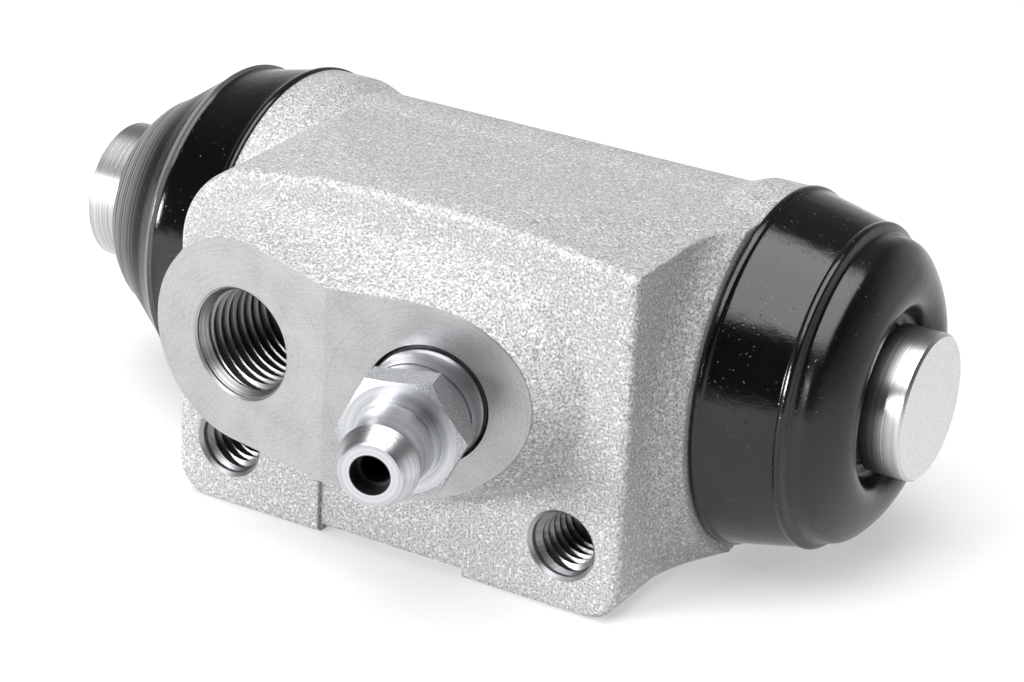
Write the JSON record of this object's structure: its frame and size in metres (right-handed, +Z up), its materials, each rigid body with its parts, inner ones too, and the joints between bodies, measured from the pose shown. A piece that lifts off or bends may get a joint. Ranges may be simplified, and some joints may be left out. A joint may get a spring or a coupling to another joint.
{
  "type": "wheel cylinder",
  "caption": "Hydraulic drum brake wheel cylinder: cast housing, opposed pistons with rubber dust boots, bleed screw, threaded pipe port and fixing holes.",
  "frame": {"origin": "midway between the two fixing holes, on the mounting face", "axes": "-Y out of the mounting face, +X along the bore towards the right piston, +Z up"},
  "size_m": [0.0855, 0.0593, 0.0341],
  "materials": {
    "cast_housing": "sand-cast, light grey",
    "turned_piston": "turned, bright",
    "cup_rubber": "moulded, smooth",
    "pressed_steel": "pressed, plain",
    "spring_steel": "drawn wire",
    "boot_rubber": "moulded, glossy black",
    "turned_screw": "turned, bright"
  },
  "bodies": {
    "housing": {"housing": "cast_housing", "dust_boot_right": "boot_rubber", "dust_boot_left": "boot_rubber", "return_spring": "spring_steel"},
    "right_piston": {"piston_right": "turned_piston", "cup_seal_right": "cup_rubber", "spring_seat_right": "pressed_steel"},
    "left_piston": {"piston_left": "turned_piston", "cup_seal_left": "cup_rubber", "spring_seat_left": "pressed_steel"},
    "bleed_screw": {"bleed_screw": "turned_screw"}
  },
  "joints": [
    {"name": "right_piston_slide", "type": "slide", "parent": "housing", "child": "right_piston", "axis": [1, 0, 0], "range_m": [-0.003, 0.005], "stiffness_N_per_m": 600, "deforming": ["return_spring", "dust_boot_right"]},
    {"name": "left_piston_slide", "type": "slide", "parent": "housing", "child": "left_piston", "axis": [-1, 0, 0], "range_m": [-0.0055, 0.0025], "stiffness_N_per_m": 600, "deforming": ["return_spring", "dust_boot_left"]},
    {"name": "bleed_screw_turn", "type": "hinge", "parent": "housing", "child": "bleed_screw", "pos_m": [0.00614, -0.00494, 0.0121], "axis": [0.225, -0.9744, 0], "range_deg": [0, 360]}
  ]
}
